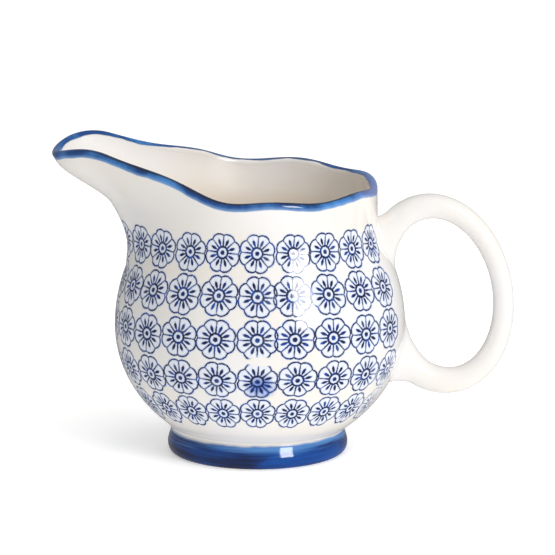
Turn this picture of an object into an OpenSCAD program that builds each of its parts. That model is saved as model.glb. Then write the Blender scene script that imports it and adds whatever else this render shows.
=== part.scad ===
// Porcelain cream jug: a bellied shell with a wide scoop spout and a wavy rim,
// on a turned foot ring, with a round ring handle luted on opposite the spout.
// Millimetres. +Z is up, the foot rests on Z = 0 and the spout points along -X.

/* [Belly] */
// Largest outer radius of the belly
belly_r = 47.8; // [40:0.1:58]
// Height of the belly's widest part above the table
belly_z = 42.5; // [36:0.5:50]
// How much smaller the belly's flat base is than its widest part, in radius
base_in = 21.2; // [16:0.1:24]
// How far the belly's centre stands from the foot's centre, toward the handle
belly_offset = 0.8; // [0:0.1:2]
// Thickness of the wall
wall = 3.4; // [2.6:0.1:4.4]
// Thickness of the floor
floor_t = 3.6; // [2.6:0.1:5]

/* [Neck] */
// Height of the shoulder, where the belly's curve turns into the neck's hollow curve
shoulder_z = 67; // [60:0.5:72]
// How much smaller the shoulder is than the widest part, in radius
shoulder_in = 5.9; // [4:0.1:8]
// How much smaller the neck is than the shoulder, in radius
neck_in = 3.2; // [2:0.1:5]

/* [Mouth and spout] */
// How much wider the round mouth is than the neck, in radius
mouth_flare = 1.3; // [0:0.1:4]
// How far the mouth's centre stands from the belly's centre, toward the spout
mouth_offset = 1.4; // [0:0.1:5]
// Height of the wall's edge at the sides of the mouth
mouth_z = 89; // [84:0.5:100]
// How far the spout's tip stands out past the belly
spout_out = 20; // [14:0.5:28]
// Radius of the spout's tip, seen from above
tip_r = 15.5; // [9:0.5:18]
// Height where the wall starts to lean out toward the spout
flare_z = 62; // [56:0.5:68]
// How late the wall leans out; 1 is a straight lean
flare_power = 1.2; // [1.1:0.01:1.6]
// Share of the lean that comes from the outward kick of the pouring lip
lip_kick = 0.335; // [0.1:0.005:0.5]
// Height of the lip's kick, down from the rim at the tip
lip_height = 16; // [10:0.5:20]
// Height of the upright edge above the kick
lip_edge = 1.8; // [1:0.1:4]

/* [Rim] */
// Thickness of the rounded rim
rim_t = 2.8; // [2:0.1:4]
// Rise of the rim for each millimetre toward the spout
spout_slope = 0.32; // [0.2:0.005:0.4]
// Distance from the belly's centre where the rim starts to rise
rise_start = 11; // [4:0.5:20]
// Length over which the rim bends upward
rise_blend = 6; // [2:0.5:12]
// How far the rim droops again at the spout's tip
tip_droop = 8.4; // [2:0.1:10]
// Length of the drooping part at the tip
droop_length = 17.4; // [10:0.1:24]
// How far the rim dips at the handle
handle_dip = 0.4; // [0:0.1:3]
// Height of the slow waves along the rim
rim_wave = 0.6; // [0:0.05:1]
// Number of waves round the rim
rim_waves = 7; // [4:1:9]
// Where the waves start, in degrees of one wave
wave_turn = 228; // [0:1:360]

/* [Foot] */
// Height of the foot ring
foot_h = 7.6; // [6:0.1:10]
// How far the foot's top stands out past the belly's base
foot_ledge = 2; // [1.6:0.1:3]
// How far the foot flares out below its top
foot_flare = 1.1; // [0.4:0.1:2]
// Height of the foot's widest part
foot_bulge_z = 3.1; // [2.5:0.1:4]
// How far the foot rounds in again to its resting face
foot_tuck = 2.1; // [1.5:0.1:3]
// Width of the flat resting face
foot_rest_w = 3.2; // [2:0.1:4.5]
// Thickness of the ring at its top, under the belly
foot_top_w = 5.8; // [4.5:0.1:7]
// How far the slip fillet reaches up the belly above the foot
foot_lute_h = 4.2; // [2.5:0.1:6]
// How far the slip fillet stands off the belly
foot_lute_t = 0.8; // [0.4:0.1:1.2]

/* [Handle] */
// Distance of the ring's centre from the belly's side
handle_out = 11.2; // [6:0.1:16]
// How far the ring's top lies below the rim, at the middle of its section
handle_drop = 6.9; // [4:0.1:10]
// Half of the ring's width, measured to the middle of its section
handle_half_w = 20.8; // [17:0.1:25]
// Half of the ring's height, measured to the middle of its section
handle_half_h = 29.6; // [26:0.1:31]
// Lean of the ring's top toward the body, in degrees
handle_lean = 10.8; // [4:0.2:14]
// Radius of the section where the ring is thinnest, farthest from the body
handle_thin_r = 3.4; // [2.6:0.1:4.2]
// Radius of the section at the top and bottom of the ring
handle_thick_r = 4.2; // [3.4:0.1:5.2]
// Distance from the wall where the upper slip joint begins
upper_reach = 6; // [5:0.1:9]
// Distance from the wall where the lower slip joint begins
lower_reach = 8.5; // [6:0.1:11]
// How far the upper joint swells inside the ring
upper_swell_in = 2.5; // [1:0.1:5]
// How far the upper joint swells outside the ring
upper_swell_out = 3.6; // [1:0.1:5]
// How far the lower joint swells inside the ring
lower_swell_in = 3.5; // [1:0.1:6]
// How far the lower joint swells outside the ring
lower_swell_out = 4.8; // [1:0.1:6]

/* [Smoothness] */
// Number of wall panels round the body
columns = 80; // [48:4:96]
// Rows of panels from the foot to the widest part
low_rows = 7; // [5:1:10]
// Rows of panels from the widest part to where the neck begins
high_rows = 5; // [4:1:8]
// Rows of panels up the neck and spout
neck_rows = 9; // [6:1:12]
// Steps round the rounded rim
rim_steps = 4; // [3:1:6]
// Flats round the handle's section
handle_sides = 24; // [16:2:32]
// Steps along the handle
handle_steps = 36; // [24:1:48]

/* [Hidden] */

// --- the belly and neck in section: two quarter ellipses and a hollow arc
base_r = belly_r - base_in;
shoulder_r = belly_r - shoulder_in;
neck_r = shoulder_r - neck_in;
mouth_r = neck_r + mouth_flare;
spout_reach = belly_r + spout_out;
// how far below and above its widest part the belly's curves would close
belly_low = (belly_z - foot_h) / sqrt(1 - pow(base_r / belly_r, 2));
belly_high = (shoulder_z - belly_z) / sqrt(1 - pow(shoulder_r / belly_r, 2));
function belly_curve(z) =
    belly_r * sqrt(1 - pow((z - belly_z) / (z < belly_z ? belly_low : belly_high), 2));
// how steeply the belly closes in at the shoulder, in degrees from upright
shoulder_lean = atan(pow(belly_r / belly_high, 2) * (shoulder_z - belly_z) / shoulder_r);
// radius of the neck's hollow curve, which leaves the belly and ends upright
hollow_r = (shoulder_r - neck_r) / (1 - cos(shoulder_lean));
neck_z = shoulder_z + hollow_r * sin(shoulder_lean);

function body_r(z) =
    z <= shoulder_z ? belly_curve(z) :
    z >= neck_z ? neck_r :
    neck_r + hollow_r - sqrt(pow(hollow_r, 2) - pow(neck_z - z, 2));

// --- the mouth seen from above: a circle drawn out to the spout's smaller circle
tip_x = spout_reach - tip_r;
side_lean = asin((mouth_r - tip_r) / (tip_x - mouth_offset));
mouth_corner = atan2(mouth_r * cos(side_lean), -mouth_offset - mouth_r * sin(side_lean));
tip_corner = atan2(tip_r * cos(side_lean), -tip_x - tip_r * sin(side_lean));

// distance along a ray at angle a to the far side of a circle centred at -offset on X
function to_circle(a, offset, r) =
    sqrt(pow(r, 2) - pow(offset * sin(a), 2)) - offset * cos(a);
function to_side(a) =
    (mouth_r + mouth_offset * sin(side_lean)) / (cos(side_lean) * sin(a) - sin(side_lean) * cos(a));
function plan_r(a) =
    let (b = abs(a))
    b <= mouth_corner ? to_circle(b, mouth_offset, mouth_r) :
    b >= tip_corner ? to_circle(b, tip_x, tip_r) :
    to_side(b);

// --- the height of the wall's edge at angle a, by how far it lies toward the spout
function edge_z(a) =
    let (
        x = -plan_r(a) * cos(a),
        rise = x - rise_start,
        droop = max(0, x - spout_reach + droop_length) / droop_length,
        dip = max(0, -x) / (mouth_r - mouth_offset)
    )
    mouth_z
    + spout_slope * (rise + sqrt(pow(rise, 2) + pow(rise_blend, 2))) / 2
    - tip_droop * pow(droop, 2)
    - handle_dip * pow(dip, 4)
    + rim_wave * cos(rim_waves * a + wave_turn);

// --- the outer wall: upright sections joined to the mouth's outline
// the lean grows with height, and the lip's kick adds a smooth step near the top
function lean_out(z, a) =
    z <= flare_z ? 0 :
    let (
        up = (z - flare_z) / (edge_z(a) - flare_z),
        tall = edge_z(180) - flare_z,
        kick = min(1, max(0, (up * tall - tall + lip_height) / (lip_height - lip_edge)))
    )
    (plan_r(a) - neck_r)
    * ((1 - lip_kick) * pow(up, flare_power) + lip_kick * kick * kick * (3 - 2 * kick));
function outer_r(z, a) = body_r(z) + lean_out(z, a);

base_lean = acos((belly_z - foot_h) / belly_low);
flare_lean = asin((flare_z - belly_z) / belly_high);
wall_rows = low_rows + high_rows + neck_rows;

// height of row j of the wall at angle a
function row_z(j, a) =
    j <= low_rows ? belly_z - belly_low * cos(base_lean + (90 - base_lean) * j / low_rows) :
    j <= low_rows + high_rows ?
        belly_z + belly_high * sin(flare_lean * (j - low_rows) / high_rows) :
    flare_z + (edge_z(a) - flare_z) * (j - low_rows - high_rows) / neck_rows;

// panels are narrower at the spout than at the handle
function column_a(i) = 360 * i / columns + 26 * sin(360 * i / columns) - (i > columns / 2 ? 360 : 0);
column_list = [for (i = [0 : columns - 1]) column_a(i)];

function wall_point(z, a) = [
    belly_offset + outer_r(z, a) * cos(a),
    outer_r(z, a) * sin(a),
    z
];
function unit(v) = v / norm(v);
// directions up the wall and out of it, at row j and angle a
function up_dir(j, a) =
    let (
        low = max(0, j - 0.25),
        high = min(wall_rows, j + 0.25)
    )
    unit(wall_point(row_z(high, a), a) - wall_point(row_z(low, a), a));
function round_dir(j, a) =
    unit(wall_point(row_z(j, a + 1), a + 1) - wall_point(row_z(j, a - 1), a - 1));
function out_dir(j, a) = unit(cross(round_dir(j, a), up_dir(j, a)));

floor_z = foot_h + floor_t;
function wall_t(j) =
    let (top = max(0, j - low_rows - high_rows) / neck_rows)
    wall + (rim_t - wall) * pow(top, 2);
function inner_point(j, a) =
    let (p = wall_point(row_z(j, a), a) - wall_t(j) * out_dir(j, a))
    [p.x, p.y, max(p.z, floor_z)];
function roll_point(s, a) =
    let (
        turn = 180 * s / rim_steps,
        edge = wall_point(edge_z(a), a)
    )
    edge + rim_t / 2 * ((cos(turn) - 1) * out_dir(wall_rows, a) + sin(turn) * up_dir(wall_rows, a));

outer_rows = [for (j = [0 : wall_rows]) [for (a = column_list) wall_point(row_z(j, a), a)]];
roll_rows = [for (s = [1 : rim_steps - 1]) [for (a = column_list) roll_point(s, a)]];
inner_rows = [for (j = [wall_rows : -1 : 0]) [for (a = column_list) inner_point(j, a)]];

// a solid through rings of points: capped at both ends, or joined into a loop
module loft(rings, looped = false) {
    n = len(rings[0]);
    m = len(rings);
    last = looped ? m - 1 : m - 2;
    points = [for (ring = rings, p = ring) p];
    sides = [
        for (j = [0 : last], i = [0 : n - 1])
        let (
            k = (i + 1) % n,
            a = j * n,
            b = ((j + 1) % m) * n
        )
        each [[a + i, b + i, b + k], [a + i, b + k, a + k]]
    ];
    caps = looped ? [] : [
        [for (i = [0 : n - 1]) i],
        [for (i = [n - 1 : -1 : 0]) (m - 1) * n + i]
    ];
    polyhedron(points = points, faces = concat(sides, caps), convexity = 8);
}

module vessel_body() {
    color("white")
    loft(concat(outer_rows, roll_rows, inner_rows));
}

// the outer shape as one solid lump, to shape what is luted against it
module body_lump() {
    middle = [for (a = column_list) [belly_offset + cos(a), sin(a), neck_z]];
    loft(concat(outer_rows, [middle]));
}

// --- the foot
foot_top_r = base_r + foot_ledge;
foot_bulge_r = foot_top_r + foot_flare;
foot_rest_r = foot_bulge_r - foot_tuck;
foot_steps = 6;
foot_outline = concat(
    [[foot_rest_r - foot_rest_w, 0], [foot_rest_r, 0]],
    [for (s = [1 : foot_steps])
        let (a = 90 * s / foot_steps)
        [
            foot_rest_r + (foot_bulge_r - foot_rest_r) * sin(a),
            foot_bulge_z * (1 - cos(a))
        ]
    ],
    [for (s = [1 : foot_steps])
        let (t = s / foot_steps)
        [
            foot_bulge_r + (foot_top_r - foot_bulge_r) * pow(sin(90 * t), 2),
            foot_bulge_z + (foot_h - foot_bulge_z) * t
        ]
    ],
    [
        [foot_top_r - foot_top_w, foot_h],
        [foot_top_r - foot_top_w, foot_bulge_z],
        [foot_rest_r - foot_rest_w - 0.8, 0.8]
    ]
);

module foot_ring() {
    color("royalblue")
    rotate_extrude($fn = 180)
    polygon(foot_outline);
}

// the fillet of slip in the corner between the foot's top and the belly
lute_rows = 5;
lute_top_lean = acos((belly_z - foot_h - foot_lute_h) / belly_low);
// height up the belly at share t of the fillet
function lute_z(t) = belly_z - belly_low * cos(base_lean + (lute_top_lean - base_lean) * t);
// the hollow face of the fillet stands off the belly most where it leaves the foot
function stand_off(t) =
    foot_lute_t * (1 - t) + 0.2 * (foot_top_r - body_r(foot_h)) * pow(1 - t, 2);
function belly_ring(t, off) = [
    for (a = column_list)
    [
        belly_offset + (body_r(lute_z(t)) + off) * cos(a),
        (body_r(lute_z(t)) + off) * sin(a),
        lute_z(t)
    ]
];

module foot_lute() {
    against = [for (s = [lute_rows : -1 : 0]) belly_ring(s / lute_rows, 0)];
    edge = [for (a = column_list) [foot_top_r * cos(a), foot_top_r * sin(a), foot_h]];
    face = [for (s = [1 : lute_rows - 1]) belly_ring(s / lute_rows, stand_off(s / lute_rows))];
    color("ivory")
    loft(concat(against, [edge], face), looped = true);
}

// --- the handle's middle line: a leaning ellipse, angle 0 farthest from the body
handle_x = belly_offset + belly_r + handle_out;
// height of the ring's top above its centre, as it leans
ring_rise = norm([handle_half_w * sin(handle_lean), handle_half_h * cos(handle_lean)]);
handle_z = mouth_z - handle_drop - ring_rise;
function ring_point(a) = [
    handle_x + handle_half_w * cos(a) * cos(handle_lean) - handle_half_h * sin(a) * sin(handle_lean),
    0,
    handle_z + handle_half_w * cos(a) * sin(handle_lean) + handle_half_h * sin(a) * cos(handle_lean)
];
function ring_dir(a) = unit(ring_point(a + 0.5) - ring_point(a - 0.5));
function section_r(a) = handle_thin_r + (handle_thick_r - handle_thin_r) * (1 - cos(a));

// how far the middle line stands clear of the wall at angle a
function clear_of_wall(a) =
    let (p = ring_point(a))
    p.x - belly_offset - outer_r(p.z, 0);
// the first angle, going by step, where the middle line is nearer the wall than a distance
function near_wall(a, step, distance) =
    clear_of_wall(a) <= distance || abs(a) > 175 ? a : near_wall(a + step, step, distance);

upper_joint = near_wall(90, 0.25, upper_reach);
lower_joint = near_wall(-90, -0.25, lower_reach);
upper_end = near_wall(90, 0.25, -wall);
lower_end = near_wall(-90, -0.25, -wall);

// one thin slice of the section: side -1 or 1 lays it on one side of its plane
slice_t = 0.6;
module slice(p, d, r, side = 0) {
    translate(p)
    rotate([0, atan2(d.x, d.z), 0])
    translate([0, 0, slice_t * (side - 1) / 2])
    cylinder(h = slice_t, r = r, $fn = handle_sides);
}

module ring_handle() {
    step = (upper_joint - lower_joint) / handle_steps;
    color("snow")
    union() {
        for (i = [0 : handle_steps - 1]) {
            a = lower_joint + step * i;
            b = a + step;
            hull() {
                slice(ring_point(a), ring_dir(a), section_r(a), i == 0 ? 1 : 0);
                slice(ring_point(b), ring_dir(b), section_r(b), i == handle_steps - 1 ? -1 : 0);
            }
        }
    }
}

// direction straight into the wall at a height, on the handle's side
function into_wall(z) = unit([-2, 0, outer_r(z + 1, 0) - outer_r(z - 1, 0)]);

// a plug of slip that swells and turns from the handle's end onto the wall
lute_steps = 10;
module lute_slice(i, from, to, swell_in, swell_out) {
    t = i / lute_steps;
    side = to > from ? 1 : -1;
    a = from + (to - from) * t;
    end = into_wall(ring_point(to).z);
    d = unit((1 - t) * side * ring_dir(a) + t * end);
    swell = pow(t, 1.4);
    inward = swell * (swell_in - swell_out) / 2;
    slice(
        ring_point(a) + inward * side * [-d.z, 0, d.x],
        d,
        section_r(from) + swell * (swell_in + swell_out) / 2,
        i == 0 ? 1 : 0
    );
}

module handle_lute(from, to, swell_in, swell_out) {
    difference() {
        union() {
            for (i = [0 : lute_steps - 1])
                hull() {
                    lute_slice(i, from, to, swell_in, swell_out);
                    lute_slice(i + 1, from, to, swell_in, swell_out);
                }
        }
        body_lump();
    }
}

module upper_handle_lute() {
    color("linen")
    handle_lute(upper_joint, upper_end, upper_swell_in, upper_swell_out);
}

module lower_handle_lute() {
    color("linen")
    handle_lute(lower_joint, lower_end, lower_swell_in, lower_swell_out);
}

vessel_body();
foot_ring();
foot_lute();
ring_handle();
upper_handle_lute();
lower_handle_lute();
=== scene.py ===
from bisect import bisect_left
from math import acos, asin, atan, atan2, cos, degrees, hypot, pi, radians, sin, sqrt, tau

import bmesh
import bpy
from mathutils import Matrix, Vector


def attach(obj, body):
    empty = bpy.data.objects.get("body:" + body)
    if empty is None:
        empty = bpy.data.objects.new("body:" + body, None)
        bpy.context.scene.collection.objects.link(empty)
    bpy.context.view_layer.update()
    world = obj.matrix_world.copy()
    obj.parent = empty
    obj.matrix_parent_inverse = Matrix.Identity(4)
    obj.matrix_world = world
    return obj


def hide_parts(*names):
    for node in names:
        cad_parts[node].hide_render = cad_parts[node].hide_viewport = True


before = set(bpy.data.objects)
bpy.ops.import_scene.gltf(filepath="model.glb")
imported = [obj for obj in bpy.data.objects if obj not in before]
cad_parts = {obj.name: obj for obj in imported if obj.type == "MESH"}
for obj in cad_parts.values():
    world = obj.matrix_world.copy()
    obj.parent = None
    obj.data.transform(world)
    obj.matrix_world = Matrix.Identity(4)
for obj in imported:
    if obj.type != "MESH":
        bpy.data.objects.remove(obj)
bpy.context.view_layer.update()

MM = 0.001
scene = bpy.context.scene

# --- camera: a long lens, a little above the jug, looking straight at its side
CAMERA_AIM = Vector((6.58, 0, 58.06)) * MM
CAMERA_LIFT = radians(12.5)
CAMERA_DISTANCE = 2.0
FRAME_WIDTH = 182.5 * MM
SENSOR = 36.0

lens_data = bpy.data.cameras.new("camera")
lens_data.sensor_width = SENSOR
lens_data.lens = SENSOR * CAMERA_DISTANCE / FRAME_WIDTH
lens_data.clip_start = 0.1
lens_data.clip_end = 50
lens_data.dof.use_dof = False
camera = bpy.data.objects.new("camera", lens_data)
scene.collection.objects.link(camera)
camera.location = CAMERA_AIM + CAMERA_DISTANCE * Vector((0, -cos(CAMERA_LIFT), sin(CAMERA_LIFT)))
camera.rotation_euler = (pi / 2 - CAMERA_LIFT, 0, 0)
scene.camera = camera
scene.view_settings.view_transform = "Standard"

# --- the jug's sizes, in millimetres; angles are about Z, with 0 at the handle and pi at the spout
BELLY_R = 47.8
BELLY_Z = 42.5
BODY_SHIFT = 0.8
BASE_R = BELLY_R - 21.2
SHOULDER_Z = 67
SHOULDER_R = BELLY_R - 5.9
NECK_R = SHOULDER_R - 3.2
WALL = 3.4
FLOOR_T = 3.6
MOUTH_R = NECK_R + 1.3
MOUTH_SHIFT = 1.4
MOUTH_Z = 89
SPOUT_REACH = BELLY_R + 20
TIP_R = 15.5
FLARE_Z = 62
FLARE_POWER = 1.2
LIP_KICK = 0.335
LIP_HEIGHT = 16
LIP_EDGE = 1.8
RIM_T = 2.8
SPOUT_SLOPE = 0.32
RISE_START = 11
RISE_BLEND = 6
TIP_DROOP = 8.4
DROOP_LENGTH = 17.4
HANDLE_DIP = 0.4
RIM_WAVE = 0.6
RIM_WAVES = 7
WAVE_TURN = radians(228)
FOOT_H = 7.6
FOOT_TOP_R = BASE_R + 2
FOOT_BULGE_R = FOOT_TOP_R + 1.1
FOOT_BULGE_Z = 3.1
FOOT_REST_R = FOOT_BULGE_R - 2.1
FOOT_REST_W = 3.2
FOOT_TOP_W = 5.8
FOOT_LIP_Z = FOOT_H + 0.7
FOOT_UNDERCUT = 2.2
FOOT_EDGE_R = 0.45
RECESS_CHAMFER = 0.8
COLLAR_SOFT = 3.2
HANDLE_OUT = 11.2
HANDLE_DROP = 6.9
HANDLE_LEAN = radians(10.8)
HANDLE_HALF_W = 20.8
HANDLE_HALF_H = 29.6
HANDLE_RISE = hypot(HANDLE_HALF_W * sin(HANDLE_LEAN), HANDLE_HALF_H * cos(HANDLE_LEAN))
HANDLE_X = BODY_SHIFT + BELLY_R + HANDLE_OUT
HANDLE_Z = MOUTH_Z - HANDLE_DROP - HANDLE_RISE
HANDLE_THIN_R = 3.4
HANDLE_THICK_R = 4.2
UPPER_JOINT = radians(116.75)
LOWER_JOINT = radians(-123)

# small steps for measuring a slope, in millimetres and radians, and the gap that welds shut
STEP_Z = 0.2
STEP_A = 0.01
WELD = 1e-7

# --- the thrown wall, as it was drawn out for the spout
BELLY_LOW = (BELLY_Z - FOOT_H) / sqrt(1 - (BASE_R / BELLY_R) ** 2)
BELLY_HIGH = (SHOULDER_Z - BELLY_Z) / sqrt(1 - (SHOULDER_R / BELLY_R) ** 2)
SHOULDER_LEAN = atan((BELLY_R / BELLY_HIGH) ** 2 * (SHOULDER_Z - BELLY_Z) / SHOULDER_R)
HOLLOW_R = (SHOULDER_R - NECK_R) / (1 - cos(SHOULDER_LEAN))
NECK_Z = SHOULDER_Z + HOLLOW_R * sin(SHOULDER_LEAN)
TIP_X = SPOUT_REACH - TIP_R
SIDE_LEAN = asin((MOUTH_R - TIP_R) / (TIP_X - MOUTH_SHIFT))
MOUTH_CORNER = atan2(MOUTH_R * cos(SIDE_LEAN), -MOUTH_SHIFT - MOUTH_R * sin(SIDE_LEAN))
TIP_CORNER = atan2(TIP_R * cos(SIDE_LEAN), -TIP_X - TIP_R * sin(SIDE_LEAN))


def body_r(z):
    if z >= NECK_Z:
        return NECK_R
    if z > SHOULDER_Z:
        return NECK_R + HOLLOW_R - sqrt(HOLLOW_R**2 - (NECK_Z - z) ** 2)
    reach = BELLY_LOW if z < BELLY_Z else BELLY_HIGH
    return BELLY_R * sqrt(1 - ((z - BELLY_Z) / reach) ** 2)


def to_circle(a, shift, r):
    return sqrt(r**2 - (shift * sin(a)) ** 2) - shift * cos(a)


def plan_r(a):
    b = abs((a + pi) % tau - pi)
    if b <= MOUTH_CORNER:
        return to_circle(b, MOUTH_SHIFT, MOUTH_R)
    if b >= TIP_CORNER:
        return to_circle(b, TIP_X, TIP_R)
    straight = MOUTH_R + MOUTH_SHIFT * sin(SIDE_LEAN)
    return straight / (cos(SIDE_LEAN) * sin(b) - sin(SIDE_LEAN) * cos(b))


def edge_z(a):
    x = -plan_r(a) * cos(a)
    rise = x - RISE_START
    droop = max(0, x - SPOUT_REACH + DROOP_LENGTH) / DROOP_LENGTH
    dip = max(0, -x) / (MOUTH_R - MOUTH_SHIFT)
    return (
        MOUTH_Z
        + SPOUT_SLOPE * (rise + sqrt(rise**2 + RISE_BLEND**2)) / 2
        - TIP_DROOP * droop**2
        - HANDLE_DIP * dip**4
        + RIM_WAVE * cos(RIM_WAVES * a + WAVE_TURN)
    )


def outer_r(z, a):
    if z <= FLARE_Z:
        return body_r(z)
    up = (z - FLARE_Z) / (edge_z(a) - FLARE_Z)
    tall = edge_z(pi) - FLARE_Z
    kick = min(1, max(0, (up * tall - tall + LIP_HEIGHT) / (LIP_HEIGHT - LIP_EDGE)))
    lean = (1 - LIP_KICK) * up**FLARE_POWER + LIP_KICK * kick * kick * (3 - 2 * kick)
    return body_r(z) + (plan_r(a) - NECK_R) * lean


def wall_point(z, a):
    r = outer_r(z, a)
    return Vector((BODY_SHIFT + r * cos(a), r * sin(a), z))


def row_z(t, a):
    """Height at share t of the wall: up to 1 it is the belly, and from 1 to 2 the flare."""
    if t > 1:
        return FLARE_Z + (edge_z(a) - FLARE_Z) * (t - 1)
    low = acos((BELLY_Z - FOOT_H) / BELLY_LOW)
    high = asin((FLARE_Z - BELLY_Z) / BELLY_HIGH)
    turn = (pi / 2 - low + high) * t - pi / 2 + low
    return BELLY_Z + (BELLY_LOW if turn < 0 else BELLY_HIGH) * sin(turn)


def wall_frame(t, a):
    """The wall's point at share t and angle a, with the directions up it and out of it."""
    low, high = max(0, t - STEP_A), min(2, t + STEP_A)
    up = (wall_point(row_z(high, a), a) - wall_point(row_z(low, a), a)).normalized()
    before, after = a - STEP_A, a + STEP_A
    round_ = wall_point(row_z(t, after), after) - wall_point(row_z(t, before), before)
    return wall_point(row_z(t, a), a), up, round_.cross(up).normalized()


# --- how a sheet of clay is rolled into each piece
def rolled(name, columns, rows, place, maps=()):
    """A sheet of columns by rows whose points go where place(across, along) puts them.
    maps gives each named UV map as a function of the same two shares."""
    bm = bmesh.new()
    layers = [(bm.loops.layers.uv.new(title), value) for title, value in maps]
    bmesh.ops.create_grid(bm, x_segments=columns, y_segments=rows, size=0.5)
    share = {}
    for v in bm.verts:
        share[v] = (round((v.co.x + 0.5) * columns) / columns, round((v.co.y + 0.5) * rows))
    for face in bm.faces:
        face.smooth = True
        for loop in face.loops:
            for layer, value in layers:
                loop[layer].uv = value(*share[loop.vert])
    for v, (across, along) in share.items():
        v.co = place(across, along) * MM
    bmesh.ops.remove_doubles(bm, verts=bm.verts, dist=WELD)
    bmesh.ops.recalc_face_normals(bm, faces=bm.faces)
    return finished(name, bm)


def finished(name, bm):
    mesh = bpy.data.meshes.new(name)
    bm.to_mesh(mesh)
    bm.free()
    piece = bpy.data.objects.new(name, mesh)
    scene.collection.objects.link(piece)
    return piece


def soft_floor(z, floor, blend):
    """z, held above the floor with a rounded corner."""
    lift = z - floor
    return floor + (lift + sqrt(lift**2 + blend**2)) / 2


# --- the cast shell: under its floor, up the outside, over the rim, down the inside
COLUMNS = 288
UNDER_ROWS = 5
LOW_ROWS = 66
HIGH_ROWS = 60
ROLL_ROWS = 14
INNER_HIGH_ROWS = 42
INNER_LOW_ROWS = 46
FLOOR_ROWS = 10
OUTER_TOP = UNDER_ROWS + LOW_ROWS + HIGH_ROWS
ROLL_TOP = OUTER_TOP + ROLL_ROWS
INNER_FOOT = ROLL_TOP + INNER_HIGH_ROWS + INNER_LOW_ROWS
SHELL_ROWS = INNER_FOOT + FLOOR_ROWS
FLOOR_Z = FOOT_H + FLOOR_T
FLOOR_CORNER = 3
COLUMN_CROWDING = radians(26)


def inner_point(t, a):
    point, _, out = wall_frame(t, a)
    p = point - (WALL + (RIM_T - WALL) * max(0, t - 1) ** 2) * out
    p.z = soft_floor(p.z, FLOOR_Z, FLOOR_CORNER)
    return p


def shell_column(a):
    """One column's points, from the middle of the underside to the middle of the floor."""
    centre = Vector((BODY_SHIFT, 0, FOOT_H))
    base = wall_point(FOOT_H, a)
    points = [centre.lerp(base, j / UNDER_ROWS) for j in range(UNDER_ROWS)]
    points += [wall_point(row_z(j / LOW_ROWS, a), a) for j in range(LOW_ROWS)]
    points += [wall_point(row_z(1 + j / HIGH_ROWS, a), a) for j in range(HIGH_ROWS)]
    edge, up, out = wall_frame(2, a)
    for j in range(ROLL_ROWS):
        turn = pi * j / ROLL_ROWS
        points.append(edge + RIM_T / 2 * ((cos(turn) - 1) * out + sin(turn) * up))
    points += [inner_point(2 - j / INNER_HIGH_ROWS, a) for j in range(INNER_HIGH_ROWS)]
    points += [inner_point(1 - j / INNER_LOW_ROWS, a) for j in range(INNER_LOW_ROWS)]
    last = inner_point(0, a)
    middle = Vector((BODY_SHIFT, 0, FLOOR_Z))
    for j in range(FLOOR_ROWS + 1):
        t = j / FLOOR_ROWS
        p = last.lerp(middle, t)
        p.z = FLOOR_Z + (last.z - FLOOR_Z) * (1 - t) ** 3
        points.append(p)
    return points


def column_a(i):
    """Columns stand closer together at the spout than at the handle."""
    return tau * i / COLUMNS + COLUMN_CROWDING * sin(tau * i / COLUMNS)


shell = [shell_column(column_a(i % COLUMNS)) for i in range(COLUMNS + 1)]


def along_wall(points):
    """Each point's distance along the column from the rim's crest, positive on the outside."""
    steps = [0.0]
    for p, q in zip(points, points[1:]):
        steps.append(steps[-1] + (q - p).length)
    crest = steps[OUTER_TOP + ROLL_ROWS // 2]
    return [crest - s for s in steps]


lip = [along_wall(points) for points in shell]

# --- where the stamped flowers stand: heights of the rows, degrees between columns, the turn
# of the column at the front, and how far the rows sag at the sides
FLOWER_ROWS = (22.0, 33.9, 47.7, 61.5, 74.7)
FLOWER_TURNS = (15.6, 16.2, 16.4, 16.45, 16.7)
FRONT = radians(269.1)
ROW_SAG = 2.2
LIP_UNIT = 10


def between(x, xs, ys):
    """ys at x, joined by straight lines and carried on past both ends."""
    i = min(max(bisect_left(xs, x), 1), len(xs) - 1)
    t = (x - xs[i - 1]) / (xs[i] - xs[i - 1])
    return ys[i - 1] + t * (ys[i] - ys[i - 1])


def stamp_place(across, along):
    i = round(across * COLUMNS)
    a = column_a(i)
    z = shell[i][along].z + ROW_SAG * cos(a) ** 2
    row = between(z, FLOWER_ROWS, range(len(FLOWER_ROWS)))
    turn = between(z, FLOWER_ROWS, FLOWER_TURNS)
    return (degrees(a - FRONT) / turn, row)


def lip_place(across, along):
    i = round(across * COLUMNS)
    return (column_a(i) / tau, lip[i][along] / LIP_UNIT)


vessel = rolled(
    "vessel_shell", COLUMNS, SHELL_ROWS,
    lambda across, along: shell[round(across * COLUMNS)][along],
    [("stamps", stamp_place), ("lip", lip_place)],
)

# --- the turned foot: its outline is spun round the wheel's middle
FOOT_STEPS = 10
FOOT_EDGE_STEPS = 4
FOOT_COLUMNS = 256


def foot_outline():
    inner_top = FOOT_TOP_R - FOOT_TOP_W
    rest_in = FOOT_REST_R - FOOT_REST_W
    outline = [(rest_in, 0), (FOOT_REST_R, 0)]
    for s in range(1, FOOT_STEPS + 1):
        a = pi / 2 * s / FOOT_STEPS
        outline.append((
            FOOT_REST_R + (FOOT_BULGE_R - FOOT_REST_R) * sin(a),
            FOOT_BULGE_Z * (1 - cos(a)),
        ))
    for s in range(1, FOOT_STEPS + 1):
        t = s / FOOT_STEPS
        outline.append((
            FOOT_BULGE_R + (FOOT_TOP_R - FOOT_BULGE_R) * sin(pi / 2 * t) ** 2,
            FOOT_BULGE_Z + (FOOT_LIP_Z - FOOT_BULGE_Z) * t,
        ))
    return outline + [
        (FOOT_TOP_R - FOOT_UNDERCUT, FOOT_H),
        (inner_top, FOOT_H),
        (inner_top, FOOT_BULGE_Z),
        (rest_in - RECESS_CHAMFER, RECESS_CHAMFER),
    ]


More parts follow.
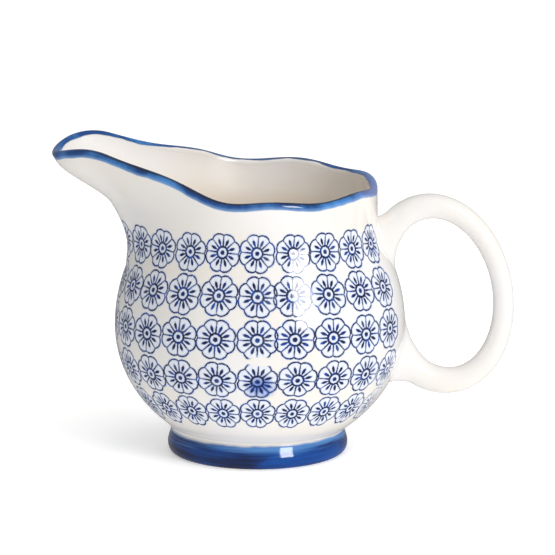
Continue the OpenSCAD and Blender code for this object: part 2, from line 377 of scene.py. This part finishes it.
def turned_foot(name):
    bm = bmesh.new()
    verts = [bm.verts.new((r * MM, 0, z * MM)) for r, z in foot_outline()]
    edges = [bm.edges.new((v, verts[i - 1])) for i, v in enumerate(verts)]
    soft = [verts[0], verts[1], verts[-1], verts[-2], verts[-3]]
    bmesh.ops.bevel(
        bm, geom=soft, offset=FOOT_EDGE_R * MM, offset_type="OFFSET",
        segments=FOOT_EDGE_STEPS, profile=0.5, affect="VERTICES", material=-1,
    )
    bmesh.ops.spin(
        bm, geom=bm.verts[:] + bm.edges[:], cent=(0, 0, 0), axis=(0, 0, 1), dvec=(0, 0, 0),
        angle=tau, steps=FOOT_COLUMNS, use_merge=True, use_duplicate=False,
    )
    bmesh.ops.remove_doubles(bm, verts=bm.verts, dist=WELD)
    bmesh.ops.recalc_face_normals(bm, faces=bm.faces)
    for face in bm.faces:
        face.smooth = True
    return finished(name, bm)


foot = turned_foot("turned_foot")

# --- the fillet of slip between the foot's lip and the belly, which it joins without an edge
FILLET_COLUMNS = 288
FILLET_ROWS = 22
FILLET_TOP = FOOT_H + 5
FILLET_FADE = 2.5
FILLET_SUNK = 1
FILLET_PROUD = 0.02
FILLET_TUCK = 0.05


def fillet_r(z, a):
    """The larger of the belly and the collar above the foot, with the corner between filled."""
    collar = to_circle(a, BODY_SHIFT, FOOT_TOP_R)
    belly = body_r(z)
    near = max(0, 1 - abs(belly - collar) / COLLAR_SOFT)
    rise = min(1, (z - FOOT_LIP_Z) / FILLET_FADE)
    return max(belly, collar) + COLLAR_SOFT / 4 * near**2 * rise * rise * (3 - 2 * rise)


def fillet_place(across, along):
    """The fillet's skin, proud of the belly by a hair, and its back sunk into the wall."""
    a = tau * across
    if along in (0, FILLET_ROWS + 2):
        r, z = body_r(FOOT_H) - FILLET_SUNK, FOOT_H
    elif along == FILLET_ROWS + 1:
        r, z = body_r(FILLET_TOP) - FILLET_SUNK, FILLET_TOP
    else:
        t = (along - 1) / (FILLET_ROWS - 1)
        z = FOOT_LIP_Z + (FILLET_TOP - FOOT_LIP_Z) * t
        r = fillet_r(z, a) + FILLET_PROUD - FILLET_TUCK * t
    return Vector((BODY_SHIFT + r * cos(a), r * sin(a), z))


foot_fillet = rolled("foot_fillet", FILLET_COLUMNS, FILLET_ROWS + 2, fillet_place)

# --- the pulled handle, and the slip wiped round each of its roots
SIDEWAYS = Vector((0, 1, 0))
RING_STEP = 0.005


def ring_point(a):
    """The handle's middle line, a leaning oval; angle 0 is farthest from the body."""
    wide = HANDLE_HALF_W * cos(a)
    tall = HANDLE_HALF_H * sin(a)
    return Vector((
        HANDLE_X + wide * cos(HANDLE_LEAN) - tall * sin(HANDLE_LEAN),
        0,
        HANDLE_Z + wide * sin(HANDLE_LEAN) + tall * cos(HANDLE_LEAN),
    ))


def ring_dir(a):
    return (ring_point(a + RING_STEP) - ring_point(a - RING_STEP)).normalized()


def section_r(a):
    return HANDLE_THIN_R + (HANDLE_THICK_R - HANDLE_THIN_R) * (1 - cos(a))


def section_point(a, turn, r):
    outward = SIDEWAYS.cross(ring_dir(a))
    return ring_point(a) + r * (cos(turn) * outward + sin(turn) * SIDEWAYS)


HANDLE_SIDES = 96
HANDLE_ROWS = 200
JOINT_LAP = radians(1.5)
JOINT_STEP = 0.05
GAP_LAP = radians(13)
UNDER_SLIP = 0.4
UNDER_SLIP_SLOPE = 6


def handle_place(across, along):
    """The ring's skin; its ends run a little way into the roots, just under their skin."""
    if along in (0, 1):
        a = LOWER_JOINT - JOINT_LAP
    elif along in (HANDLE_ROWS + 3, HANDLE_ROWS + 4):
        a = UPPER_JOINT + JOINT_LAP
    else:
        a = LOWER_JOINT + (UPPER_JOINT - LOWER_JOINT) * (along - 2) / HANDLE_ROWS
    if along in (0, HANDLE_ROWS + 4):
        return ring_point(a)
    # under the slip of a root, which reaches further along on the gap side, it is thinner
    reach = GAP_LAP * (1 - cos(tau * across)) / 2
    under = max(a - UPPER_JOINT + reach, LOWER_JOINT + reach - a)
    thinned = min(UNDER_SLIP, max(0, under * UNDER_SLIP_SLOPE))
    return section_point(a, tau * across, section_r(a) - thinned)


handle = rolled("ring_handle_clay", HANDLE_SIDES, HANDLE_ROWS + 4, handle_place)

# each root's lowest and highest points on the wall, and half its width there
UPPER_ROOT = (59.5, 78.8, 6.4)
LOWER_ROOT = (22.2, 46.5, 7.2)
ROOT_ROWS = 26
ROOT_SUNK = 1.8
ROOT_EDGE_SUNK = 0.1
# how strongly the slip keeps the ring's direction, then the wall's, and what the gap side adds
RING_PULL = 0.42
RING_PULL_GAP = -0.13
WALL_PULL = 0.1
WALL_PULL_GAP = 0.26


def onto_wall(p):
    """The wall's surface at the height and angle of p, with its outward direction."""
    a = atan2(p.y, p.x - BODY_SHIFT)
    on = wall_point(p.z, a)
    up = wall_point(p.z + STEP_Z, a) - wall_point(p.z - STEP_Z, a)
    round_ = wall_point(p.z, a + STEP_A) - wall_point(p.z, a - STEP_A)
    return on, round_.cross(up).normalized()


def root_place(joint, side, low_z, high_z, half_wide):
    """Slip drawn from the handle's end onto the wall between two heights, which it meets flat."""
    middle = (low_z + high_z) / 2
    reach = side * (high_z - low_z) / 2
    contact, outward = onto_wall(Vector((BODY_SHIFT + BELLY_R, 0, middle)))

    def place(across, along):
        turn = tau * across
        gap_side = (1 - cos(turn)) / 2
        on_ring = joint - side * GAP_LAP * gap_side
        if along == 0:
            return ring_point(joint - side * JOINT_LAP)
        if along == 1:
            back = on_ring - side * JOINT_LAP
            return section_point(back, turn, section_r(back) - JOINT_STEP)
        start = section_point(on_ring, turn, section_r(on_ring))
        height = middle + reach * cos(turn)
        y = half_wide * sin(turn)
        foot_at, normal = onto_wall(Vector((BODY_SHIFT + outer_r(height, 0), y, height)))
        if along == ROOT_ROWS + 2:
            return foot_at - normal * ROOT_SUNK
        if along == ROOT_ROWS + 3:
            return contact - outward * ROOT_SUNK
        t = (along - 2) / (ROOT_ROWS - 1)
        away = foot_at - contact
        away = (away - normal * away.dot(normal)).normalized()
        span = (foot_at - start).length
        end = foot_at - normal * ROOT_EDGE_SUNK
        p1 = start + side * ring_dir(on_ring) * span * (RING_PULL + RING_PULL_GAP * gap_side)
        p2 = foot_at - away * span * (WALL_PULL + WALL_PULL_GAP * gap_side)
        left = 1 - t
        return start * left**3 + p1 * 3 * left**2 * t + p2 * 3 * left * t**2 + end * t**3

    return place


upper_root = rolled(
    "upper_handle_root", HANDLE_SIDES, ROOT_ROWS + 3, root_place(UPPER_JOINT, 1, *UPPER_ROOT)
)
lower_root = rolled(
    "lower_handle_root", HANDLE_SIDES, ROOT_ROWS + 3, root_place(LOWER_JOINT, -1, *LOWER_ROOT)
)


# --- finishes
def tone(code):
    """An sRGB hex colour as linear red, green, blue and alpha."""
    parts = [int(code[i : i + 2], 16) / 255 for i in (1, 3, 5)]
    return tuple(c / 12.92 if c <= 0.04045 else ((c + 0.055) / 1.055) ** 2.4 for c in parts) + (1.0,)


def new_finish(name):
    """An empty material, whose nodes add() makes from here on."""
    global tree
    material = bpy.data.materials.new(name)
    material.use_nodes = True
    tree = material.node_tree
    tree.nodes.clear()
    return material


def add(kind, values=(), out=0, **settings):
    """A node with its settings, its inputs set or linked in order or by name; gives an output."""
    made = tree.nodes.new("ShaderNode" + kind)
    for key, value in settings.items():
        setattr(made, key, value)
    for key, value in values.items() if isinstance(values, dict) else enumerate(values):
        if isinstance(value, bpy.types.NodeSocket):
            tree.links.new(value, made.inputs[key])
        else:
            made.inputs[key].default_value = value
    return made.outputs[out] if made.outputs else made


SMOOTH = {"interpolation_type": "SMOOTHSTEP"}
COLOUR = {"data_type": "RGBA", "out": 2}
TIMES = {"operation": "MULTIPLY"}
LESS = {"operation": "SUBTRACT"}
OVER = {"operation": "DIVIDE"}
TIMES_PLUS = {"operation": "MULTIPLY_ADD"}

# Clear glaze over white porcelain, dipped and fired: a warm white that pools a shade
# creamier here and there, under a wet gloss that ripples a little over hand-worked clay.
PORCELAIN = tone("#e6e4e3")
PORCELAIN_POOLED = tone("#e5e0d9")
CREAM = tone("#fbf0e1")
CLOUDS = 28
RIPPLE_SIZE = 9 * MM
RIPPLE_DEPTH = 0.05 * MM
HAND_RIPPLE = 0.35
GLOSS = 0.07
GLAZE_IOR = 1.55
GLAZE_SHINE = 0.72


def glaze_base(ripple=HAND_RIPPLE):
    """Object place, the clear glaze's colour and its rippled normal."""
    place = add("TexCoord", out="Object")
    cloud = add("TexNoise", {"Vector": place, "Scale": CLOUDS, "Detail": 3})
    pooling_and_shade = add("MapRange", (cloud, 0.35, 0.7), **SMOOTH)
    colour = add("Mix", {0: pooling_and_shade, 6: PORCELAIN, 7: PORCELAIN_POOLED}, **COLOUR)
    swell = add("TexNoise", {"Vector": place, "Scale": 1 / RIPPLE_SIZE, "Detail": 1.5})
    bump = add("Bump", {"Strength": ripple, "Distance": RIPPLE_DEPTH, "Height": swell})
    return place, colour, bump


def under_gloss(colour, roughness, bump):
    """The finish's surface: a colour sealed under smooth, glassy glaze."""
    values = {"Base Color": colour, "Roughness": roughness, "Normal": bump}
    values |= {"IOR": GLAZE_IOR, "Specular IOR Level": GLAZE_SHINE}
    add("OutputMaterial", {"Surface": add("BsdfPrincipled", values)})


def white_glaze():
    material = new_finish("clear_glazed_porcelain")
    place, colour, bump = glaze_base()
    under_gloss(colour, GLOSS, bump)
    return material


# Brushed cobalt under the glaze: streaks left by a soft brush held to the turning foot,
# deep where two strokes overlap and thin and pale along the upper edge.
COBALT_DEEP = tone("#01205a")
COBALT = tone("#004696")
COBALT_THIN = tone("#5084c0")
COBALT_DARK = tone("#061232")
BARE_CLAY = tone("#e9e2d6")
BARE_ROUGHNESS = 0.7
TURNED_RIPPLE = 0.12
BAND_TOP = 8.05 * MM
BAND_WANDER = 0.9 * MM
# noise cells in a metre along and across the brush's way: flat cells make streaks round the foot
HAIRS = (40, 40, 1500)
LOADS = (22, 22, 420)
LOADS_PLACE = (3, 7, 0)
PATCHES = (50, 50, 160)
SECOND_SLANT = -1.6


def cobalt_glaze():
    material = new_finish("brushed_cobalt_glaze")
    place, white, bump = glaze_base(TURNED_RIPPLE)
    side, _, height = add("SeparateXYZ", (place,)).node.outputs
    # fine hairs of the brush, broader bands of load, and patches where a stroke ended
    hairs = add("Mapping", {"Vector": place, "Scale": HAIRS})
    hairs = add("TexNoise", {"Vector": hairs, "Scale": 1, "Detail": 3, "Roughness": 0.6})
    bands = add("Mapping", {"Vector": place, "Scale": LOADS, "Location": LOADS_PLACE})
    bands = add("TexNoise", {"Vector": bands, "Scale": 1, "Detail": 2})
    patches = add("Mapping", {"Vector": place, "Scale": PATCHES})
    patches = add("TexNoise", {"Vector": patches, "Scale": 1, "Detail": 2})
    load = add("Math", (hairs, 0.45, add("Math", (bands, 0.55), **TIMES)), **TIMES_PLUS)
    strong = add("MapRange", (add("Math", (load, patches)), 0.82, 1.16), **SMOOTH)
    colour = add("Mix", {0: strong, 6: COBALT_DEEP, 7: COBALT}, **COLOUR)
    # the band thins out upwards and lets the white through in streaks
    upward = add("MapRange", (height, 2.2 * MM, 7.6 * MM))
    thin = add("Math", (load, 3.4, add("Math", (upward, -1.7))), **TIMES_PLUS)
    thin = add("MapRange", (thin, 0.5, 1.3), **SMOOTH)
    colour = add("Mix", {0: thin, 6: colour, 7: COBALT_THIN}, **COLOUR)
    # a second, darker stroke starts on a slant left of the front
    slant = add("Math", (height, SECOND_SLANT, side), **TIMES_PLUS)
    second = add("MapRange", (slant, -1.5 * MM, -4.5 * MM), **SMOOTH)
    low = add("MapRange", (height, 6.2 * MM, 3.2 * MM), **SMOOTH)
    second = add("Math", (second, low), **TIMES)
    second = add("Math", (second, add("MapRange", (load, 0.36, 0.6, 0.9, 0.3))), **TIMES)
    colour = add("Mix", {0: second, 6: colour, 7: COBALT_DARK}, **COLOUR)
    wander = add("TexNoise", {"Vector": place, "Scale": 150})
    edge = add("Math", (wander, BAND_WANDER, height), **TIMES_PLUS)
    gone = add("MapRange", (edge, BAND_TOP - 0.25 * MM, BAND_TOP + 0.75 * MM), **SMOOTH)
    colour = add("Mix", {0: gone, 6: colour, 7: white}, **COLOUR)
    # the ring it stands on was wiped clean of glaze
    glazed = add("MapRange", (height, 0.02 * MM, 0.12 * MM))
    colour = add("Mix", {0: glazed, 6: BARE_CLAY, 7: colour}, **COLOUR)
    roughness = add("MapRange", (glazed, 0, 1, BARE_ROUGHNESS, GLOSS))
    under_gloss(colour, roughness, bump)
    return material


# Blue flowers stamped by hand under the glaze: thin navy lines whose ink pools at the
# crossings and bleeds a little, with a faint blue wash inside the petals.
INK = tone("#0b1540")
INK_WET = tone("#1a48a0")
SMUDGE = tone("#2a60b4")
WASH = tone("#d6dff0")
BLEED = tone("#9fb6e0")
WASH_DEPTH = 0.46
# half a flower's width and height, as shares of a column and of a row
FLOWER_WIDE = 0.512
FLOWER_TALL = 0.482
# how far a stamp strays from its place and turns, and how far a crowded one is pushed
STRAY_ACROSS = 0.024
STRAY_UP = 0.03
STRAY_TURN = 0.14
CROWDING = 0.105
# the drawing on the stamp, as shares of the flower's radius: middles and half widths of lines
PETAL = radians(45)
OUTLINE_R = 0.985
SCALLOP = -0.115
SCALLOP_POWER = 2.2
OUTLINE_HALF = 0.04
PETAL_LINE_IN = 0.3
PETAL_LINE_OUT = 0.75
PETAL_LINE_BROAD = 0.05
PETAL_LINE_FINE = 0.024
PETAL_LINE_START = 0.28
EYE_R = 0.295
EYE_HALF = 0.056
DOT_R = 0.115
LEAF_R = 0.525
LEAF_HALF = 0.195
LEAF_IN = 0.36
LEAF_OUT = 0.62
LEAF_NARROW = 0.05
LEAF_FULL = 0.085
LEAF_POINT = 1.5
LEAF_INK = 0.07
# the stamped rows and columns, as a middle and how far each way
ROWS_STAMPED = (2, 2.1)
COLUMNS_STAMPED = (-5.5, 9.6)
CROWDED_ROWS = (2.5, 0.6)
FAR_BELOW = 10


def flower(u, v, parity, ragged):
    """How deep in the ink a point is, and whether it is inside a flower, for every second
    column of flowers, so that neighbours may overlap."""
    column = add("Math", (add("Math", (u, 1 - parity)), 2), operation="SNAP")
    column = add("Math", (column, parity))
    row = add("Math", (v,), operation="ROUND")
    luck = add("CombineXYZ", (column, row))
    luck = add("TexWhiteNoise", {"Vector": luck}, out="Color", noise_dimensions="3D")
    lucky_x, lucky_y, lucky_turn = add("SeparateColor", (luck,)).node.outputs
    # the stamp was started afresh at the second column, so two rows crowd there
    fresh = add("Math", (column, 0.5), operation="GREATER_THAN")
    crowd = add("Math", (row, *CROWDED_ROWS), operation="COMPARE")
    crowd = add("Math", (fresh, crowd), **TIMES)
    x = add("Math", (crowd, CROWDING, add("Math", (u, column), **LESS)), **TIMES_PLUS)
    x = add("Math", (lucky_x, STRAY_ACROSS, x), **TIMES_PLUS)
    x = add("Math", (add("Math", (x, -STRAY_ACROSS / 2)), FLOWER_WIDE), **OVER)
    y = add("Math", (lucky_y, STRAY_UP, add("Math", (v, row), **LESS)), **TIMES_PLUS)
    y = add("Math", (add("Math", (y, -STRAY_UP / 2)), FLOWER_TALL), **OVER)
    r = add("VectorMath", (add("CombineXYZ", (x, y)),), out="Value", operation="LENGTH")
    turn = add("Math", (y, x), operation="ARCTAN2")
    turn = add("Math", (lucky_turn, STRAY_TURN, turn), **TIMES_PLUS)
    petals = add("Math", (turn, PETAL), **OVER)
    from_line = add("Math", (petals, 1), operation="PINGPONG")
    from_line = add("Math", (from_line, 0.5), operation="PINGPONG")
    from_middle = add("Math", (0.5, from_line), **LESS)
    arc = add("Math", (r, PETAL), **TIMES)
    # the scalloped outline
    lobe = add("Math", (add("Math", (from_middle, 2), **TIMES), SCALLOP_POWER), operation="POWER")
    outline_r = add("Math", (lobe, SCALLOP, OUTLINE_R), **TIMES_PLUS)
    inside = add("Math", (outline_r, r), **LESS)
    outline = add("Math", (OUTLINE_HALF, add("Math", (inside,), operation="ABSOLUTE")), **LESS)
    # petal lines, broad by the eye's ring and fine at the outline
    broad = (PETAL_LINE_IN, PETAL_LINE_OUT, PETAL_LINE_BROAD, PETAL_LINE_FINE)
    broad = add("MapRange", (r, *broad))
    line = add("Math", (broad, add("Math", (arc, from_line), **TIMES)), **LESS)
    line = add("Math", (line, inside), operation="MINIMUM")
    line = add("Math", (line, add("Math", (r, -PETAL_LINE_START))), operation="MINIMUM")
    # the eye: a ring with a dot in it
    ring = add("Math", (add("Math", (r, -EYE_R)),), operation="ABSOLUTE")
    ring = add("Math", (EYE_HALF, ring), **LESS)
    dot = add("Math", (DOT_R, r), **LESS)
    # a leaf-shaped touch in the middle of each petal, pointed, fuller at its outer end
    leaf_long = add("Math", (add("Math", (r, -LEAF_R)), LEAF_HALF), **OVER)
    leaf_long = add("Math", (leaf_long,), operation="ABSOLUTE")
    leaf_long = add("Math", (leaf_long, LEAF_POINT), operation="POWER")
    leaf_wide = add("MapRange", (r, LEAF_IN, LEAF_OUT, LEAF_NARROW, LEAF_FULL))
    leaf_wide = add("Math", (add("Math", (arc, from_middle), **TIMES), leaf_wide), **OVER)
    leaf = add("Math", (leaf_wide, leaf_wide, leaf_long), **TIMES_PLUS)
    leaf = add("Math", (leaf, -LEAF_INK, LEAF_INK), **TIMES_PLUS)
    deep = outline
    for part in (line, ring, dot, leaf):
        deep = add("Math", (deep, part), operation="MAXIMUM")
    # flowers stand in five rows and stop short of the handle
    stands = add("Math", (row, *ROWS_STAMPED), operation="COMPARE")
    reached = add("Math", (column, *COLUMNS_STAMPED), operation="COMPARE")
    stands = add("Math", (stands, reached), **TIMES)
    deep = add("Math", (stands, FAR_BELOW, add("Math", (deep, ragged))), **TIMES_PLUS)
    inside = add("Math", (add("MapRange", (inside, -0.02, 0.06), **SMOOTH), stands), **TIMES)
    return add("Math", (deep, -FAR_BELOW)), inside


# noise cells in a metre for ragged edges, for how the stamp was loaded and for where it is worn
RAGGED = 1900
LOADED = 520
WORN = 150
RAGGED_DEPTH = 0.07
# how far its bleed and a smudge reach from a line, in flower radii, and how strong they are
BLEED_REACH = -0.09
BLEED_DEPTH = 0.5
SMUDGE_REACH = (-0.15, 0.02)
SMUDGE_DEPTH = (0.42, 0.95)
# how soft a line's edge is, and from what load to what load it turns wet and blue
LINE_EDGE = (-0.016, 0.014)
WET_LOADS = (0.42, 0.78)
# the missed and smudged spots: where they are in columns and rows, how tightly they fade each
# way, and how ragged their edges are
MISSED = ((0.10, 1.50, 0), (2.8, 8.5, 1), 0.5)
RUBBED = ((4.5, 0.25, 0), (0.83, 1.1, 1), 1.4)
SMUDGED = ((0.05, 0.80, 0), (2.0, 2.3, 1), 0.8)
# cobalt brushed along the rim: denser and paler strokes, pale where it runs thin, paler, near lilac,
# at the handle, with painted shade almost black along the front's inner edge and a painted sheen
# greying the far side
RIM_DENSE = tone("#0f4180")
RIM_PALE = tone("#3b7abc")
RIM_PAINTED_SHADE = tone("#0b1730")
RIM_THIN = tone("#7fa9da")
RIM_FAR_SHEEN = tone("#4b5d7c")
RIM_HANDLE = tone("#7f93cf")
# in millimetres along the wall from the crest: the line's width down the outside, its soft
# edge, how far it wanders, and how far it laps over to the inside at the belly and the spout,
# with what is added in the middle and at the handle
RIM_WIDE = 3.3
RIM_EDGE = 0.5
RIM_WANDER = 1.5
LAP_AT_BELLY = 1.4
LAP_AT_SPOUT = 2.7
LAP_ADDED_MIDDLE = -0.15
LAP_ADDED_HANDLE = 0.35
# where below the crest, inside, the creamier and duller glaze begins and is full
CREAM_FROM = -1
CREAM_FULL = -36
DULL_FULL = -5
INNER_ROUGHNESS = 0.45


def flowered_glaze():
    material = new_finish("stamped_flower_glaze")
    place, white, bump = glaze_base()
    stamps = add("UVMap", uv_map="stamps")
    u, v, _ = add("SeparateXYZ", (stamps,)).node.outputs
    crest = add("SeparateXYZ", (add("UVMap", uv_map="lip"),), out=1)
    from_crest = add("Math", (crest, LIP_UNIT), **TIMES)
    # the inside is a creamier glaze than the outside
    inner = add("MapRange", (from_crest, CREAM_FROM, CREAM_FULL), **SMOOTH)
    colour = add("Mix", {0: inner, 6: white, 7: CREAM}, **COLOUR)

    fine = add("TexNoise", {"Vector": place, "Scale": RAGGED})
    ragged = add("Math", (fine, RAGGED_DEPTH, -RAGGED_DEPTH / 2), **TIMES_PLUS)
    loaded = add("TexNoise", {"Vector": place, "Scale": LOADED, "Detail": 3})
    worn = add("TexNoise", {"Vector": place, "Scale": WORN})
    even, even_in = flower(u, v, 0, ragged)
    odd, odd_in = flower(u, v, 1, ragged)
    deep = add("Math", (even, odd), operation="MAXIMUM")
    inside = add("Math", (even_in, odd_in), operation="MAXIMUM")

    # touches that the stamp missed, a spot rubbed thin, and one heavy smudge of cobalt
    spots = []
    for centre, size, roughen in (MISSED, RUBBED, SMUDGED):
        off = add("VectorMath", (stamps, centre), **LESS)
        off = add("VectorMath", (off, size), **TIMES)
        off = add("VectorMath", (off,), out="Value", operation="LENGTH")
        spots.append(add("Math", (worn, roughen, off), **TIMES_PLUS))
    missed = add("MapRange", (spots[0], 1.0, 1.45), **SMOOTH)
    rubbed = add("MapRange", (spots[1], 1.0, 1.9, 0.35, 1.0), **SMOOTH)
    heavy = add("MapRange", (spots[2], 1.45, 0.75), **SMOOTH)
    shown = add("Math", (missed, rubbed), **TIMES)
    shown = add("Math", (shown, add("MapRange", (from_crest, 1, 2))), **TIMES)

    wash = add("Math", (add("Math", (inside, shown), **TIMES), WASH_DEPTH), **TIMES)
    colour = add("Mix", {0: wash, 6: colour, 7: WASH}, **COLOUR)
    bleed = add("MapRange", (deep, BLEED_REACH, 0.0, 0.0, BLEED_DEPTH), **SMOOTH)
    bleed = add("Math", (bleed, shown), **TIMES)
    colour = add("Mix", {0: bleed, 6: colour, 7: BLEED}, **COLOUR)
    smudge = add("MapRange", (deep, *SMUDGE_REACH, *SMUDGE_DEPTH), **SMOOTH)
    smudge = add("Math", (smudge, heavy), **TIMES)
    colour = add("Mix", {0: smudge, 6: colour, 7: SMUDGE}, **COLOUR)
    wet = add("MapRange", (loaded, *WET_LOADS), **SMOOTH)
    ink = add("Mix", {0: wet, 6: INK, 7: INK_WET}, **COLOUR)
    line = add("MapRange", (deep, *LINE_EDGE), **SMOOTH)
    strength = add("MapRange", (worn, 0.2, 0.5, 0.86, 1.0), **SMOOTH)
    line = add("Math", (add("Math", (line, strength), **TIMES), shown), **TIMES)
    colour = add("Mix", {0: line, 6: colour, 7: ink}, **COLOUR)

    # the rim's painted line laps over the crest, further down the outside than the inside
    across, back, _ = add("SeparateXYZ", (place,)).node.outputs
    wobble = add("TexNoise", {"Vector": place, "Scale": 120})
    rim_d = add("Math", (from_crest, -RIM_WANDER / 2))
    rim_d = add("Math", (wobble, RIM_WANDER, rim_d), **TIMES_PLUS)
    lap = (across, -20 * MM, -45 * MM, LAP_AT_BELLY, LAP_AT_SPOUT)
    lap = add("MapRange", lap, **SMOOTH)
    added = (across, 20 * MM, 35 * MM, LAP_ADDED_MIDDLE, LAP_ADDED_HANDLE)
    added = add("MapRange", added, **SMOOTH)
    inner_d = add("Math", (rim_d, add("Math", (lap, added))))
    brushed = add("MapRange", (rim_d, RIM_WIDE, RIM_WIDE - RIM_EDGE), **SMOOTH)
    brushed = add("Math", (brushed, add("MapRange", (inner_d, -0.2, 0.2), **SMOOTH)), **TIMES)
    load = add("TexNoise", {"Vector": place, "Scale": 60, "Detail": 4, "Roughness": 0.65})
    load = add("MapRange", (load, 0.42, 0.66), **SMOOTH)
    paint = add("Mix", {0: load, 6: RIM_DENSE, 7: RIM_PALE}, **COLOUR)
    # painted shade makes it almost black along the front's inner edge; it runs thin at the outer one
    near = add("MapRange", (back, -6 * MM, -20 * MM), **SMOOTH)
    pooling_and_shade = add("MapRange", (rim_d, 1.5, 0.6, 0.0, 0.9), **SMOOTH)
    pooling_and_shade = add("Math", (pooling_and_shade, near), **TIMES)
    paint = add("Mix", {0: pooling_and_shade, 6: paint, 7: RIM_PAINTED_SHADE}, **COLOUR)
    thin_edge = add("MapRange", (rim_d, 1.6, 2.9, 0.0, 0.6), **SMOOTH)
    paint = add("Mix", {0: thin_edge, 6: paint, 7: RIM_THIN}, **COLOUR)
    # a painted sheen greys it at the far side
    far_sheen = add("MapRange", (back, 27 * MM, 34 * MM, 0.0, 0.6), **SMOOTH)
    paint = add("Mix", {0: far_sheen, 6: paint, 7: RIM_FAR_SHEEN}, **COLOUR)
    handle_end = add("MapRange", (across, 28 * MM, 41 * MM, 0.0, 0.7), **SMOOTH)
    paint = add("Mix", {0: handle_end, 6: paint, 7: RIM_HANDLE}, **COLOUR)
    colour = add("Mix", {0: brushed, 6: colour, 7: paint}, **COLOUR)
    # the glaze inside is thinner and less glossy
    roughness = (from_crest, CREAM_FROM, DULL_FULL, GLOSS, INNER_ROUGHNESS)
    roughness = add("MapRange", roughness, **SMOOTH)
    under_gloss(colour, roughness, bump)
    return material


flowers = flowered_glaze()
cobalt = cobalt_glaze()
plain = white_glaze()
for piece, finish, slot, cad in (
    (vessel, flowers, "flowered_glaze", "vessel_body"),
    (foot, cobalt, "cobalt_glaze", "foot_ring"),
    (foot_fillet, plain, "white_glaze", "foot_lute"),
    (handle, plain, "white_glaze", "ring_handle"),
    (upper_root, plain, "white_glaze", "upper_handle_lute"),
    (lower_root, plain, "white_glaze", "lower_handle_lute"),
):
    piece.data.materials.append(finish)
    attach(piece, "root")
    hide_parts(cad)

# --- a plain pale floor
FLOOR_REACH = 6
CARD_WHITE = tone("#fbfbfa")
CARD_ROUGHNESS = 0.9
CARD_GLOW = 0.43
LAMP_WHITE = tone("#ffffff")
ROOM_WHITE = tone("#fbfaf8")
ROOM_GLOW = 0.31
LIT_MIDDLE = (0, 0, 0.06)

bm = bmesh.new()
bmesh.ops.create_grid(bm, x_segments=1, y_segments=1, size=FLOOR_REACH)
floor = finished("studio_floor", bm)
# matt card that glows a little, so that it stays pale up to the jug's foot
floor_finish = new_finish("pale_studio_card")
values = {"Base Color": CARD_WHITE, "Roughness": CARD_ROUGHNESS}
values |= {"Emission Color": LAMP_WHITE, "Emission Strength": CARD_GLOW}
add("OutputMaterial", {"Surface": add("BsdfPrincipled", values)})
floor.data.materials.append(floor_finish)
floor.visible_glossy = False

# --- soft studio light: a pale room, a tall window to the right, cards above and to the left
world = bpy.data.worlds.new("pale_room")
world.use_nodes = True
room = world.node_tree.nodes["Background"]
room.inputs["Color"].default_value = ROOM_WHITE
room.inputs["Strength"].default_value = ROOM_GLOW
scene.world = world


def soft_light(name, place, width, height, power, aim=LIT_MIDDLE):
    data = bpy.data.lights.new(name, "AREA")
    data.shape = "RECTANGLE"
    data.size = width
    data.size_y = height
    data.energy = power
    data.color = LAMP_WHITE[:3]
    lamp = bpy.data.objects.new(name, data)
    scene.collection.objects.link(lamp)
    lamp.location = place
    lamp.rotation_euler = (Vector(aim) - Vector(place)).to_track_quat("-Z", "Y").to_euler()
    return lamp


soft_light("window", (0.80, -1.02, 0.53), width=0.40, height=0.78, power=9.2)
# only the window glints in the glaze; the cards above and to the left are unseen in it
for card in (
    soft_light("overhead", (0.3, -0.3, 1.75), width=1.6, height=1.6, power=19, aim=(0, 0, 0.05)),
    soft_light("left_card", (-1.7, -0.6, 0.6), width=1.2, height=1.2, power=0.2),
):
    card.visible_glossy = False
